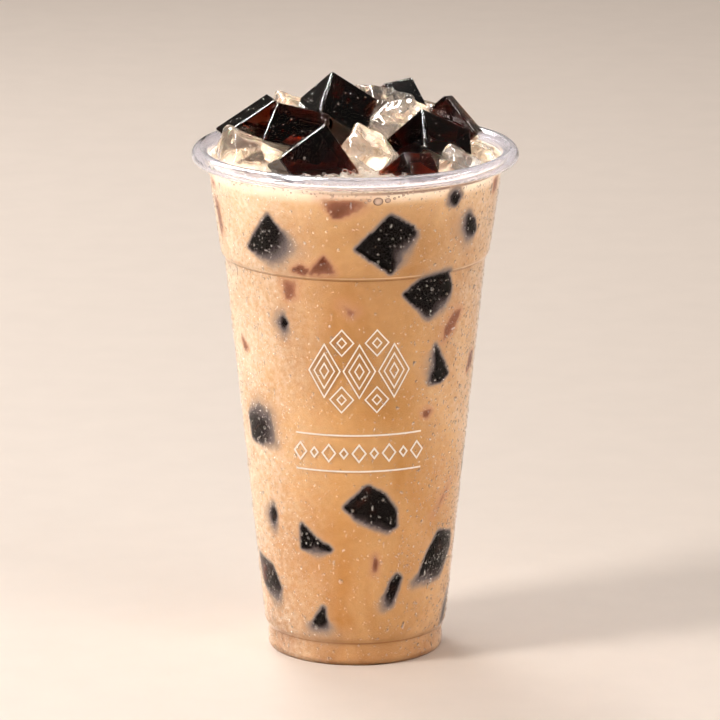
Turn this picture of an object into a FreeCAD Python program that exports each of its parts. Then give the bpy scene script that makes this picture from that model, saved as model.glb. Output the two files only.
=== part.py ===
"""Clear plastic takeaway cup of iced milk tea, heaped with cubes of dark jelly and ice.

Millimetres, +Z up. The origin is at the centre of the ring that the cup stands on.
Every node is one solid: the cup, the tea that fills it, each block of jelly and each chunk of ice.
"""
import FreeCAD, Part
import math
import os

from FreeCAD import Rotation, Vector

# The cup: one thin sheet, formed from the middle of its base to the end of its rolled lip.
CUP_HEIGHT = 150.0
RIM_DIAMETER = 95.0
WALL = 0.6
LIP_WIDTH = 5.0
LIP_DEPTH = 4.0
LIP_GAP = 0.9

# The ledge that holds nested cups apart: above it the wall stands out from the body below it.
BAND_HEIGHT = 32.0
LEDGE_DIAMETER = 76.0
LEDGE_STEP = 1.0
LEDGE_RISE = 0.9
LEDGE_ROUND = 2.4
CREASE_ROUND = 0.5

# The foot: an upright skirt under the tapered body, round a raised base.
BODY_FOOT_DIAMETER = 53.0
BODY_FOOT_HEIGHT = 8.2
FOOT_ROUND = 1.6
SKIRT_DIAMETER = 51.0
SKIRT_HEIGHT = 6.5
STANDING_RING_WIDTH = 3.2
STANDING_ROUND = 1.1
BASE_RISE = 2.2
BASE_SLOPE_WIDTH = 1.4
BASE_ROUND = 0.9

# The tea stands this far under the top of the rim.
FILL_GAP = 3.5

# Gaps left between things that rest against each other, and the size of the rounded edges.
RESTING_GAP = 0.2
WALL_GAP = 0.5
JELLY_ROUND = 0.7
ICE_ROUND = 1.1
ICE_BEVEL = 0.32

# Blocks of jelly: length, width, height; yaw, pitch and roll; middle, from the tea's surface.
JELLY = {
    "jelly_top": ((16.5, 15.5, 17.5), (12, 34, -134), (-6.5, 5.0, 10.5)),
    "jelly_left": ((16.0, 14.0, 10.0), (-16, 10, -138), (-17.0, -9.5, 8.0)),
    "jelly_front": ((17.0, 18.0, 11.0), (-11, 54, -129), (-12.0, -28.0, 2.5)),
    "jelly_right": ((18.0, 15.5, 17.0), (28, 27, -136), (21.5, -9.5, 2.5)),
    "jelly_far_right": ((15.0, 8.0, 13.0), (-21, 46, -105), (29.0, 12.0, 7.5)),
    "jelly_back": ((13.0, 11.5, 17.5), (-45, 51, -177), (11.0, 24.5, 7.8)),
    "jelly_far_left": ((18.5, 14.0, 9.0), (-164, 31, -92), (-28.5, 3.5, 6.2)),
    "jelly_front_right": ((12.0, 8.0, 13.5), (47, 11, -129), (15.0, -29.0, 0.5)),
    "jelly_rear": ((15.0, 14.0, 12.0), (30, 20, 40), (-6.5, 30.0, 2.0)),
    "jelly_rear_left": ((12.0, 10.0, 10.0), (50, 15, 20), (-30.0, 17.5, 0.5)),
}

# Chunks of ice, given the same way.
ICE = {
    "ice_left": ((17.0, 15.0, 13.0), (25, 20, 10), (-30.0, -12.5, 1.5)),
    "ice_back_left": ((15.0, 12.0, 11.0), (20, 20, 15), (-17.5, 19.5, 7.0)),
    "ice_front": ((15.0, 13.0, 11.0), (-20, 22, 35), (3.5, -19.0, 3.5)),
    "ice_back": ((14.0, 12.0, 15.0), (35, 20, -10), (7.5, 13.5, 9.8)),
    "ice_middle": ((14.0, 12.0, 12.0), (40, -30, 20), (13.5, 3.5, 8.5)),
    "ice_right": ((9.0, 9.0, 9.0), (30, 25, 10), (29.5, -21.5, 2.0)),
    "ice_far_back": ((12.0, 10.0, 12.0), (10, 15, 0), (22.0, 25.0, 5.0)),
    "ice_rear": ((11.0, 9.0, 8.0), (20, 10, 30), (10.0, 35.0, -0.5)),
    "ice_side": ((8.0, 7.0, 6.0), (15, 20, 30), (36.0, -3.0, 1.0)),
}

AXIS = Vector(0, 0, 1)
ORIGIN = Vector(0, 0, 0)

LEVEL = CUP_HEIGHT - FILL_GAP
LEDGE_HEIGHT = CUP_HEIGHT - BAND_HEIGHT
BAND_FOOT = Vector(LEDGE_DIAMETER / 2 + LEDGE_STEP, 0, LEDGE_HEIGHT + LEDGE_RISE)
BAND_TOP = Vector(RIM_DIAMETER / 2 - LIP_WIDTH + WALL, 0, CUP_HEIGHT - LIP_WIDTH / 2)


def on_band(height, inset=0.0):
    """The point of the wall above the ledge at this height, moved in square to the wall by inset."""
    slope = (BAND_TOP.x - BAND_FOOT.x) / (BAND_TOP.z - BAND_FOOT.z)
    radius = BAND_FOOT.x + slope * (height - BAND_FOOT.z)
    return Vector(radius - inset * math.hypot(1, slope), 0, height)


def left_of(direction):
    """The direction a quarter turn to the left in the XZ plane."""
    return Vector(-direction.z, 0, direction.x)


def turn_at(points, index):
    """The angle, left positive, by which the path turns at this point."""
    before = (points[index] - points[index - 1]).normalize()
    after = (points[index + 1] - points[index]).normalize()
    return math.atan2(before.x * after.z - before.z * after.x, before.dot(after))


def beside(points, distance):
    """The path that runs this far to the left of the given one."""
    sides = [left_of((b - a).normalize()) for a, b in zip(points, points[1:])]
    moved = [points[0] + sides[0] * distance]
    for point, first, second in zip(points[1:-1], sides, sides[1:]):
        moved.append(point + (first + second) * (distance / (1 + first.dot(second))))
    moved.append(points[-1] + sides[-1] * distance)
    return moved


def rounded(points, radii):
    """Edges along the path, with each inner corner replaced by an arc of its radius."""
    edges = []
    start = points[0]
    for index in range(1, len(points) - 1):
        corner = points[index]
        radius = radii[index - 1]
        if radius <= 0:
            edges.append(Part.LineSegment(start, corner).toShape())
            start = corner
            continue
        half_turn = abs(turn_at(points, index)) / 2
        reach = radius * math.tan(half_turn)
        back = (points[index - 1] - corner).normalize()
        ahead = (points[index + 1] - corner).normalize()
        enter = corner + back * reach
        leave = corner + ahead * reach
        middle_reach = radius / math.cos(half_turn) - radius
        middle = corner + (back + ahead).normalize() * middle_reach
        edges.append(Part.LineSegment(start, enter).toShape())
        edges.append(Part.Arc(enter, middle, leave).toShape())
        start = leave
    edges.append(Part.LineSegment(start, points[-1]).toShape())
    return edges


def inner_radii(points, radii):
    """The radii of the corners on the left face of the sheet, which share their outer faces' centres."""
    turns = [turn_at(points, index) for index in range(1, len(points) - 1)]
    return [radius - math.copysign(WALL, turn) for radius, turn in zip(radii, turns)]


def revolve(edges):
    """The solid that the closed outline sweeps in a full turn."""
    return Part.Face(Part.Wire(edges)).revolve(ORIGIN, AXIS, 360)


def body_path():
    """Corners of the cup's outer face, from the middle of the base to the foot of the upper band."""
    skirt = SKIRT_DIAMETER / 2
    ring = skirt - STANDING_RING_WIDTH
    points = [
        Vector(0, 0, BASE_RISE),
        Vector(ring - BASE_SLOPE_WIDTH, 0, BASE_RISE),
        Vector(ring, 0, 0),
        Vector(skirt, 0, 0),
        Vector(skirt, 0, SKIRT_HEIGHT),
        Vector(BODY_FOOT_DIAMETER / 2, 0, BODY_FOOT_HEIGHT),
        Vector(LEDGE_DIAMETER / 2, 0, LEDGE_HEIGHT),
        BAND_FOOT,
    ]
    radii = [
        BASE_ROUND,
        BASE_ROUND,
        STANDING_ROUND,
        CREASE_ROUND,
        FOOT_ROUND,
        CREASE_ROUND,
        LEDGE_ROUND,
    ]
    return points, radii


def make_cup():
    """The whole sheet: base, skirt, body, ledge, band and the lip, which rolls outwards and down."""
    points, radii = body_path()
    roll = LIP_WIDTH / 2 - WALL
    under = CUP_HEIGHT - LIP_DEPTH + WALL
    outside = RIM_DIAMETER / 2 - WALL
    lip_top = on_band(CUP_HEIGHT - WALL)
    points += [
        lip_top,
        Vector(outside, 0, lip_top.z),
        Vector(outside, 0, under),
        Vector(BAND_TOP.x + LIP_GAP, 0, under),
    ]
    radii += [roll, roll, (lip_top.z - under - roll) * 0.9]
    inside = beside(points, WALL)
    outer = rounded(points, radii)
    inner = rounded(inside, inner_radii(points, radii))
    start = Part.LineSegment(points[0], inside[0]).toShape()
    end = Part.LineSegment(points[-1], inside[-1]).toShape()
    return revolve([start] + inner + [end] + outer[::-1])


def make_filling():
    """All the room inside the cup up to the tea's level."""
    points, radii = body_path()
    points.append(on_band(LEVEL))
    inside = beside(points, WALL)
    inside[-1] = on_band(LEVEL, WALL)
    middle = Vector(0, 0, LEVEL)
    edges = rounded(inside, inner_radii(points, radii))
    edges.append(Part.LineSegment(inside[-1], middle).toShape())
    edges.append(Part.LineSegment(middle, inside[0]).toShape())
    return revolve(edges)


def make_room(toppings_height):
    """The space inside the upper band, carried on above the rim, in which toppings can lie."""
    low = on_band(BAND_FOOT.z, WALL + WALL_GAP)
    high = on_band(CUP_HEIGHT + toppings_height, WALL + WALL_GAP)
    return Part.makeCone(low.x, high.x, high.z - low.z, Vector(0, 0, low.z))


def centred_box(size, grow):
    """A box about the origin, larger all round by grow."""
    length, width, height = [side + 2 * grow for side in size]
    return Part.makeBox(length, width, height, Vector(-length / 2, -width / 2, -height / 2))


def put(shape, turn, place):
    """The shape turned, then moved to its place over the tea's surface."""
    middle = Vector(place[0], place[1], LEVEL + place[2])
    shape.Placement = FreeCAD.Placement(middle, Rotation(*turn))
    return shape


def jelly_block(size, grow=0.0):
    """A block as cut with a knife: flat faces, edges a little rounded."""
    block = centred_box(size, grow)
    return block.makeFillet(JELLY_ROUND + grow, block.Edges).Solids[0]


def ice_chunk(size, grow=0.0):
    """A broken cube: four of its corners are bevelled off, and all its edges have melted round."""
    chunk = centred_box(size, grow)
    reach = max(size)
    for side_x, side_y, side_z in ((1, 1, 1), (-1, -1, 1), (1, -1, -1), (-1, 1, -1)):
        corner = Vector(side_x * size[0] / 2, side_y * size[1] / 2, side_z * size[2] / 2)
        normal = Vector(side_x / size[0], side_y / size[1], side_z / size[2]).normalize()
        cutter = Part.makeBox(2 * reach, 2 * reach, 2 * reach, Vector(-reach, -reach, 0))
        bevel = corner * (1 - ICE_BEVEL) + normal * grow
        cutter.Placement = FreeCAD.Placement(bevel, Rotation(AXIS, normal))
        chunk = chunk.cut(cutter)
    return chunk.makeFillet(ICE_ROUND, chunk.Edges).Solids[0]


def make_toppings():
    """The heap. Each piece gives way to those named before it and to the wall of the cup."""
    makers = [(name, jelly_block, JELLY[name]) for name in JELLY]
    makers += [(name, ice_chunk, ICE[name]) for name in ICE]
    highest = max(place[2] + sum(size) for size, turn, place in list(JELLY.values()) + list(ICE.values()))
    room = make_room(highest)
    toppings = {}
    taken = []
    for name, maker, (size, turn, place) in makers:
        piece = put(maker(size), turn, place).common(room)
        for other in taken:
            if piece.BoundBox.intersect(other.BoundBox):
                piece = piece.cut(other)
        toppings[name] = max(piece.Solids, key=lambda solid: solid.Volume)
        taken.append(put(maker(size, RESTING_GAP), turn, place))
    return toppings


def main():
    toppings = make_toppings()
    tea = make_filling().cut(list(toppings.values()))
    nodes = {"cup": make_cup(), "tea": tea.Solids[0]}
    nodes.update(toppings)
    os.makedirs("parts", exist_ok=True)
    for name, shape in nodes.items():
        shape.exportStep(os.path.join("parts", name + ".step"))
        box = shape.BoundBox
        print(
            name, shape.ShapeType, "valid", shape.isValid(), "solids", len(shape.Solids),
            "volume %.1f cm3" % (shape.Volume / 1000), "z %.1f to %.1f" % (box.ZMin, box.ZMax),
        )


main()
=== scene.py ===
"""Looks for the clear takeaway cup of iced milk tea with dark jelly cubes and ice.

Metres throughout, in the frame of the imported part, unless a comment gives another unit. The front of the cup
faces -Y. An azimuth is an angle round the cup from its front, positive to the right.
"""
import math

import bmesh
import bpy
import numpy as np
from mathutils import Euler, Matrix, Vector, noise
from mathutils.bvhtree import BVHTree


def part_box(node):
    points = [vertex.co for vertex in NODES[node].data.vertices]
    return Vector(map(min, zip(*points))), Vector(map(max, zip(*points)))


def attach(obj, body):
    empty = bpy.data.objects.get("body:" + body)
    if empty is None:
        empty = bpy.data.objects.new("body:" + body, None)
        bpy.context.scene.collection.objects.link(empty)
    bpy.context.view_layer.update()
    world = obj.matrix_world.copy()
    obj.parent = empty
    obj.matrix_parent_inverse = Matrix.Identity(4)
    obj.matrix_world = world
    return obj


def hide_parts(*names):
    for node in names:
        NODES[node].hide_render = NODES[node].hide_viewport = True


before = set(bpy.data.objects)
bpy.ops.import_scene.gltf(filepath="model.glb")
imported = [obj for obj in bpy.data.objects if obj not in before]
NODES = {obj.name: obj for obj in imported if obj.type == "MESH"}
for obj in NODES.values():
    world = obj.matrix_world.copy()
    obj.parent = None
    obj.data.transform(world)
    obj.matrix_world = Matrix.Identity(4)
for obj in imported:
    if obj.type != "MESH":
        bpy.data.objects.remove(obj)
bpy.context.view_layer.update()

MM = 0.001
UP = Vector((0, 0, 1))
DOWN = Vector((0, 0, -1))
JELLY_NODES = sorted(name for name in NODES if name.startswith("jelly"))
ICE_NODES = sorted(name for name in NODES if name.startswith("ice"))
random_numbers = np.random.default_rng(7)


def chance(low, high):
    """A random number between these two."""
    return random_numbers.uniform(low, high)


def chance_size(middle, spread, largest):
    """A random size about a middle one and none past the largest, both given in mm."""
    return min(middle * math.exp(random_numbers.normal(0, spread)), largest) * MM


# ---------------------------------------------------------------- measuring the frame

def joined(shapes):
    """All points and all faces of many (points, faces) shapes."""
    points, faces = [], []
    for shape_points, shape_faces in shapes:
        start = len(points)
        points += shape_points
        faces += [[start + index for index in face] for face in shape_faces]
    return points, faces


def tree_of(*objects):
    """One search tree over the meshes of these objects."""
    shapes = []
    for item in objects:
        points = [vertex.co.copy() for vertex in item.data.vertices]
        shapes.append((points, [list(face.vertices) for face in item.data.polygons]))
    return BVHTree.FromPolygons(*joined(shapes))


CUP_TREE = tree_of(NODES["cup"])
TEA_TREE = tree_of(NODES["tea"])
CUP_LOW, CUP_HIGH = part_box("cup")
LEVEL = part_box("tea")[1].z
FAR = 0.2


def outer_radius(height):
    """How far the cup's outer face stands from its axis at this height."""
    hit = CUP_TREE.ray_cast(Vector((FAR, 0, height)), Vector((-1, 0, 0)))
    return hit[0].x if hit[0] else 0.0


def inner_radius(height):
    """How far the cup's inner face stands from its axis at this height."""
    hit = CUP_TREE.ray_cast(Vector((0, 0, height)), Vector((1, 0, 0)))
    return hit[0].x if hit[0] else 0.0


def steepest_step(low, high):
    """The height in this range at which the outer face steps in or out most."""
    reach = 2
    heights = np.arange(low, high, 0.1 * MM)
    radii = np.array([outer_radius(height) for height in heights])
    steps = np.abs(radii[2 * reach:] - radii[:-2 * reach])
    return float(heights[np.argmax(steps) + reach])


LEDGE = steepest_step(0.7 * CUP_HIGH.z, 0.9 * CUP_HIGH.z)
SKIRT_TOP = steepest_step(0.03 * CUP_HIGH.z, 0.08 * CUP_HIGH.z)
BODY_MIDDLE = 60 * MM
WALL_THICKNESS = outer_radius(BODY_MIDDLE) - inner_radius(BODY_MIDDLE)


def circle(count):
    """Evenly spaced angles all the way round."""
    return [2 * math.pi * index / count for index in range(count)]


def round_axis(radius, angle, height):
    """The point at this distance from the cup's axis, this azimuth in radians and this height."""
    return Vector((radius * math.sin(angle), -radius * math.cos(angle), height))


def wall_point(azimuth, height, proud=0.0):
    """A point on the cup's outer face, or proud of it. The azimuth is in degrees."""
    return round_axis(outer_radius(height) + proud, math.radians(azimuth), height)


def wall_axes(azimuth, height):
    """Directions along the wall to the right, up the wall, and out of it. The azimuth is in degrees."""
    angle = math.radians(azimuth)
    step = 1.5 * MM
    lean = (outer_radius(height + step) - outer_radius(height - step)) / (2 * step)
    lean = min(max(lean, 0.0), 0.2)
    right = Vector((math.cos(angle), math.sin(angle), 0))
    out = round_axis(1, angle, -lean).normalized()
    return right, out.cross(right), out


# ---------------------------------------------------------------- making pieces

def linked(name, data):
    """A new object in the scene with this data."""
    item = bpy.data.objects.new(name, data)
    bpy.context.scene.collection.objects.link(item)
    return item


def dress(piece, material, smooth=True):
    """Gives a piece its one material and smooth or flat shading, and lets it ride on the one body."""
    mesh = piece.data
    mesh.materials.clear()
    mesh.materials.append(material)
    mesh.polygons.foreach_set("use_smooth", [smooth] * len(mesh.polygons))
    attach(piece, "root")


def mesh_from(name, points, faces):
    mesh = bpy.data.meshes.new(name)
    mesh.from_pydata([tuple(point) for point in points], [], faces)
    mesh.validate()
    mesh.update()
    return mesh


def add_piece(name, mesh, material, smooth=True):
    """Links the mesh as a piece of the drink."""
    piece = linked(name, mesh)
    dress(piece, material, smooth)
    return piece


def add_shapes(name, shapes, material, smooth=True):
    """Links many (points, faces) shapes as one piece."""
    add_piece(name, mesh_from(name, *joined(shapes)), material, smooth)


def ring_faces(around, rings, flat_base=False):
    """Faces over rings of points, closed by a last point and, below, by a first point or a flat base."""
    first = 0 if flat_base else 1
    last = first + (rings - 1) * around
    faces = [list(range(around))[::-1]] if flat_base else []
    for index in range(around):
        after = (index + 1) % around
        if not flat_base:
            faces.append([0, 1 + after, 1 + index])
        for low in range(first, last, around):
            faces.append([low + index, low + after, low + around + after, low + around + index])
        faces.append([last + index, last + after, last + around])
    return faces


def tube_faces(along, around, closed=True):
    """Faces of a tube through cross-sections of points. Unless it closes on itself, its ends are flat."""
    faces = []
    for index in range(along if closed else along - 1):
        here, there = index * around, (index + 1) % along * around
        for corner in range(around):
            beside = (corner + 1) % around
            faces.append([here + corner, there + corner, there + beside, here + beside])
    if not closed:
        last = (along - 1) * around
        faces += [list(range(around)), list(range(last, last + around))[::-1]]
    return faces


def lathe(name, profile, segments):
    """The closed surface that a profile of (radius, height) sweeps. Both of its ends lie on the axis."""
    points = [(0, 0, profile[0][1])]
    for radius, height in profile[1:-1]:
        points += [round_axis(radius, angle, height) for angle in circle(segments)]
    points.append((0, 0, profile[-1][1]))
    return mesh_from(name, points, ring_faces(segments, len(profile) - 2))


def set_attribute(mesh, name, values):
    attribute = mesh.attributes.new(name, "FLOAT", "POINT")
    attribute.data.foreach_set("value", np.asarray(values, np.float32))


def modify(piece, kind, **settings):
    """Adds a modifier, applies it and keeps only the new mesh."""
    modifier = piece.modifiers.new(kind, kind)
    for key, value in settings.items():
        setattr(modifier, key, value)
    graph = bpy.context.evaluated_depsgraph_get()
    mesh = bpy.data.meshes.new_from_object(piece.evaluated_get(graph))
    piece.modifiers.clear()
    piece.data = mesh


# ---------------------------------------------------------------- node trees

def srgb(red, green, blue):
    """A colour given as 0 to 255 screen values."""
    linear = []
    for value in (red, green, blue):
        share = value / 255
        linear.append(share / 12.92 if share <= 0.04045 else ((share + 0.055) / 1.055) ** 2.4)
    return (*linear, 1.0)


class Nodes:
    """A short way to build a material's node tree."""

    def __init__(self, name):
        self.material = bpy.data.materials.new(name)
        self.material.use_nodes = True
        self.tree = self.material.node_tree
        self.tree.nodes.clear()
        self.output = self.add("ShaderNodeOutputMaterial")

    def add(self, kind, **settings):
        node = self.tree.nodes.new(kind)
        for key, value in settings.items():
            setattr(node, key, value)
        return node

    def feed(self, value, socket):
        """Links another node's output to the socket, or sets the socket to a plain value."""
        if isinstance(value, bpy.types.NodeSocket):
            self.tree.links.new(value, socket)
        else:
            socket.default_value = value

    def shader(self, **inputs):
        node = self.add("ShaderNodeBsdfPrincipled")
        for key, value in inputs.items():
            self.feed(value, node.inputs[key.replace("_", " ")])
        return node

    def place(self):
        return self.add("ShaderNodeTexCoord").outputs["Object"]

    def noise(self, scale, detail=3.0, roughness=0.5, stretch=(1, 1, 1), distortion=0.0):
        """Noise over the object, its scale per metre. A stretch above 1 packs it closer along that axis."""
        mapping = self.add("ShaderNodeMapping")
        mapping.inputs["Scale"].default_value = stretch
        self.feed(self.place(), mapping.inputs["Vector"])
        node = self.add("ShaderNodeTexNoise")
        node.inputs["Scale"].default_value = scale
        node.inputs["Detail"].default_value = detail
        node.inputs["Roughness"].default_value = roughness
        node.inputs["Distortion"].default_value = distortion
        self.feed(mapping.outputs["Vector"], node.inputs["Vector"])
        return node.outputs["Fac"]

    def cells(self, scale):
        """How far each place lies from the nearest of scattered points. The scale is per metre."""
        node = self.add("ShaderNodeTexVoronoi")
        node.inputs["Scale"].default_value = scale
        self.feed(self.place(), node.inputs["Vector"])
        return node.outputs["Distance"]

    def attribute(self, name):
        node = self.add("ShaderNodeAttribute", attribute_name=name)
        return node.outputs["Fac"]

    def ramp(self, factor, stops):
        """Stops are (position, colour)."""
        node = self.add("ShaderNodeValToRGB")
        elements = node.color_ramp.elements
        while len(elements) < len(stops):
            elements.new(0.5)
        for element, (position, colour) in zip(elements, stops):
            element.position = position
            element.color = colour
        self.feed(factor, node.inputs["Fac"])
        return node.outputs["Color"]

    def spread(self, value, low, high, to_low=0.0, to_high=1.0):
        """Carries one range over to another, and stops at its ends."""
        node = self.add("ShaderNodeMapRange")
        for key, number in (("From Min", low), ("From Max", high), ("To Min", to_low), ("To Max", to_high)):
            node.inputs[key].default_value = number
        self.feed(value, node.inputs["Value"])
        return node.outputs["Result"]

    def maths(self, operation, first, second=0.0):
        node = self.add("ShaderNodeMath", operation=operation)
        self.feed(first, node.inputs[0])
        self.feed(second, node.inputs[1])
        return node.outputs[0]

    def times(self, first, second):
        return self.maths("MULTIPLY", first, second)

    def plus(self, first, second):
        return self.maths("ADD", first, second)

    def colour_mix(self, factor, first, second, blend="MIX"):
        node = self.add("ShaderNodeMix", data_type="RGBA", blend_type=blend)
        colour_a, colour_b = [socket for socket in node.inputs if socket.type == "RGBA"]
        self.feed(factor, node.inputs[0])
        self.feed(first, colour_a)
        self.feed(second, colour_b)
        return [socket for socket in node.outputs if socket.type == "RGBA"][0]

    def axes(self):
        node = self.add("ShaderNodeSeparateXYZ")
        self.feed(self.place(), node.inputs["Vector"])
        return node.outputs

    def height(self):
        """The height over the table."""
        return self.axes()["Z"]

    def azimuth(self):
        """The azimuth in radians."""
        axes = self.axes()
        return self.maths("ARCTAN2", axes["X"], self.times(axes["Y"], -1.0))

    def turn(self):
        """How far round the cup from its front a place lies, to either side, in radians."""
        return self.maths("ABSOLUTE", self.azimuth())

    def level_line(self, height, reach):
        """1 in a thin level line round the cup at this height and 0 away from it."""
        apart = self.maths("ABSOLUTE", self.plus(self.height(), -height))
        return self.spread(apart, 0.3 * reach, reach, 1.0, 0.0)

    def bump(self, height, strength, distance):
        node = self.add("ShaderNodeBump")
        node.inputs["Strength"].default_value = strength
        node.inputs["Distance"].default_value = distance
        self.feed(height, node.inputs["Height"])
        return node.outputs["Normal"]

    def surface(self, shader, lets_light_through=0.0):
        """Ends the tree. A share of direct light passes the surface, as it passes clear plastic or ice."""
        result = shader.outputs[0]
        if lets_light_through:
            path = self.add("ShaderNodeLightPath")
            clear = self.add("ShaderNodeBsdfTransparent")
            blend = self.add("ShaderNodeMixShader")
            self.feed(self.times(path.outputs["Is Shadow Ray"], lets_light_through), blend.inputs["Fac"])
            self.feed(result, blend.inputs[1])
            self.feed(clear.outputs[0], blend.inputs[2])
            result = blend.outputs[0]
        self.feed(result, self.output.inputs["Surface"])
        return self.material


# ---------------------------------------------------------------- materials

# The lip is rolled, and so looks thick, above the first of these heights and fully from the second.
ROLL_FOOT = CUP_HIGH.z - 4.2 * MM
ROLL_FULL = CUP_HIGH.z - 3.0 * MM

# The tea's colours by height, in shares of its level. The lowest stops, darker towards the base, are painted
# shade; the top ones are the pale froth line.
TEA_COLOURS_AND_BASE_SHADE = [
    (0.0, srgb(104, 58, 28)),
    (0.014, srgb(150, 98, 52)),
    (0.05, srgb(146, 96, 48)),
    (0.09, srgb(168, 117, 63)),
    (0.17, srgb(179, 127, 72)),
    (0.45, srgb(188, 138, 80)),
    (0.78, srgb(174, 128, 80)),
    (0.90, srgb(180, 137, 90)),
    (0.96, srgb(196, 156, 112)),
    (0.978, srgb(234, 210, 178)),
    (1.0, srgb(248, 232, 212)),
]

# Lines where the wall bends, painted on the tea: painted shade under the ledge and at the top of the skirt,
# and a painted highlight just above the ledge. Each gives height, reach to either side, strength and colour.
BEND_SHADE_AND_HIGHLIGHT = [
    (LEDGE, 0.30 * MM, 0.6, srgb(136, 88, 52)),
    (LEDGE + 0.75 * MM, 0.25 * MM, 0.5, srgb(252, 226, 192)),
    (SKIRT_TOP, 0.35 * MM, 0.6, srgb(132, 82, 46)),
]

# The tea over dark and over amber jelly, from where the jelly lies deep to where it touches the wall.
DARK_VEIL = [
    (0.0, srgb(203, 160, 120)),
    (0.15, srgb(160, 138, 120)),
    (0.35, srgb(108, 98, 96)),
    (0.6, srgb(54, 46, 46)),
    (0.85, srgb(16, 10, 10)),
    (1.0, srgb(7, 4, 4)),
]
AMBER_VEIL = [
    (0.0, srgb(206, 156, 112)),
    (0.2, srgb(184, 138, 106)),
    (0.5, srgb(138, 93, 72)),
    (1.0, srgb(94, 50, 32)),
]

# The sunk jelly itself, from its darkest places to its warmest. The warm end is partly painted light on the
# lit left.
JELLY_COLOURS = [
    (0.0, srgb(4, 2, 2)),
    (0.5, srgb(12, 6, 5)),
    (0.8, srgb(44, 20, 13)),
    (1.0, srgb(88, 44, 30)),
]


def tea_material():
    """Cloudy milk tea. Its attributes say how near a dark or an amber block lies behind its side."""
    make = Nodes("milk_tea")
    # Painted shade: the tea darkens towards the base.
    look = make.ramp(make.spread(make.height(), 0.0, LEVEL), TEA_COLOURS_AND_BASE_SHADE)
    cloud = make.spread(make.noise(42, 4, 0.55, (1, 1, 0.7), 0.8), 0.38, 0.66, 0.0, 0.5)
    look = make.colour_mix(cloud, look, srgb(220, 180, 131))
    # The wet film pales the tea; its extra paleness on the lit left side is partly painted light.
    look = make.colour_mix(fog_and_painted_light(make), look, srgb(228, 212, 192))
    grain = make.spread(make.noise(650, 3, 0.6), 0.3, 0.7, 0.94, 1.05)
    look = make.colour_mix(1.0, look, grain, "MULTIPLY")
    froth = make.times(
        make.spread(make.height(), LEVEL - 5.0 * MM, LEVEL - 1.8 * MM),
        make.spread(make.noise(210, 4, 0.7), 0.3, 0.6, 0.45, 1.0),
    )
    look = make.colour_mix(froth, look, srgb(249, 234, 214))
    # Painted shade and painted highlight lines at the wall's bends.
    for height, reach, strength, colour in BEND_SHADE_AND_HIGHLIGHT:
        look = make.colour_mix(make.times(make.level_line(height, reach), strength), look, colour)
    # Painted shadow: a dark line just under the rolled rim, strongest on the right, away from the key light.
    rim_shadow_line = make.times(
        make.level_line(LEVEL - 1.9 * MM, 0.7 * MM), make.spread(make.azimuth(), -0.45, 0.25, 0.1, 0.85)
    )
    look = make.colour_mix(rim_shadow_line, look, srgb(116, 82, 66))
    uneven = make.spread(make.noise(300, 3, 0.6), 0.3, 0.7, 0.78, 1.15)
    shade = make.times(make.attribute("shade"), uneven)
    amber = make.times(make.attribute("amber"), uneven)
    look = make.colour_mix(make.spread(shade, 0.01, 0.2), look, make.ramp(shade, DARK_VEIL))
    look = make.colour_mix(make.spread(amber, 0.02, 0.35), look, make.ramp(amber, AMBER_VEIL))
    shader = make.shader(
        Base_Color=look,
        Roughness=0.3,
        IOR=1.34,
        Specular_IOR_Level=make.spread(make.height(), LEVEL - 1.0 * MM, LEVEL - 0.2 * MM, 0.04, 0.5),
        Subsurface_Weight=0.15,
        Subsurface_Radius=(0.0014, 0.0009, 0.0006),
        Subsurface_Scale=1.0,
        Normal=make.bump(make.noise(900, 2), 0.15, 0.2 * MM),
    )
    return make.surface(shader)


def fog_and_painted_light(make):
    """How much the fine wet film pales what lies behind it: most on the cup's two sides, in flecks.
    Its greater strength on the left, the lit side, is partly painted light.
    """
    left = make.times(
        make.spread(make.azimuth(), -0.15, -1.0, 0.0, 0.8),
        make.spread(make.height(), 0.2 * LEVEL, 0.55 * LEVEL, 0.75, 1.0),
    )
    right = make.times(
        make.spread(make.azimuth(), 0.45, 1.35, 0.0, 0.58),
        make.spread(make.height(), 0.0, 0.5 * LEVEL, 0.35, 1.0),
    )
    sides = make.times(make.plus(left, right), make.spread(make.turn(), 1.9, 2.9, 1.0, 0.3))
    fleck = make.spread(make.noise(620, 4, 0.75), 0.38, 0.66, 0.4, 1.3)
    patch = make.spread(make.noise(60, 3, 0.6), 0.35, 0.65, 0.6, 1.15)
    return make.times(make.times(sides, fleck), patch)


def clear_plastic_material():
    """Thin clear sheet, a little wavy from its forming, streaked and grooved at its rolled rim."""
    make = Nodes("clear_plastic")
    haze = make.spread(make.noise(260, 3, 0.6), 0.45, 0.75, 0.03, 0.10)
    rolled = make.spread(make.height(), ROLL_FOOT, ROLL_FULL)
    streak = make.spread(make.noise(45, 3, 0.6, (1, 1, 14)), 0.35, 0.65, 0.0, 0.16)
    waves = make.noise(70, 2, 0.5, (1, 1, 0.35))
    grooves = make.times(make.noise(90, 2, 0.5, (0.3, 0.3, 11)), make.times(rolled, 0.5))
    shader = make.shader(
        Base_Color=make.colour_mix(rolled, srgb(250, 247, 246), srgb(240, 240, 247)),
        Roughness=haze,
        IOR=make.spread(rolled, 0.0, 1.0, 1.2, 1.45),
        Transmission_Weight=make.spread(make.times(rolled, streak), 0.0, 1.0, 1.0, 0.0),
        Normal=make.bump(make.plus(waves, grooves), 0.12, 0.6 * MM),
    )
    return make.surface(shader, lets_light_through=0.92)


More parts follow.
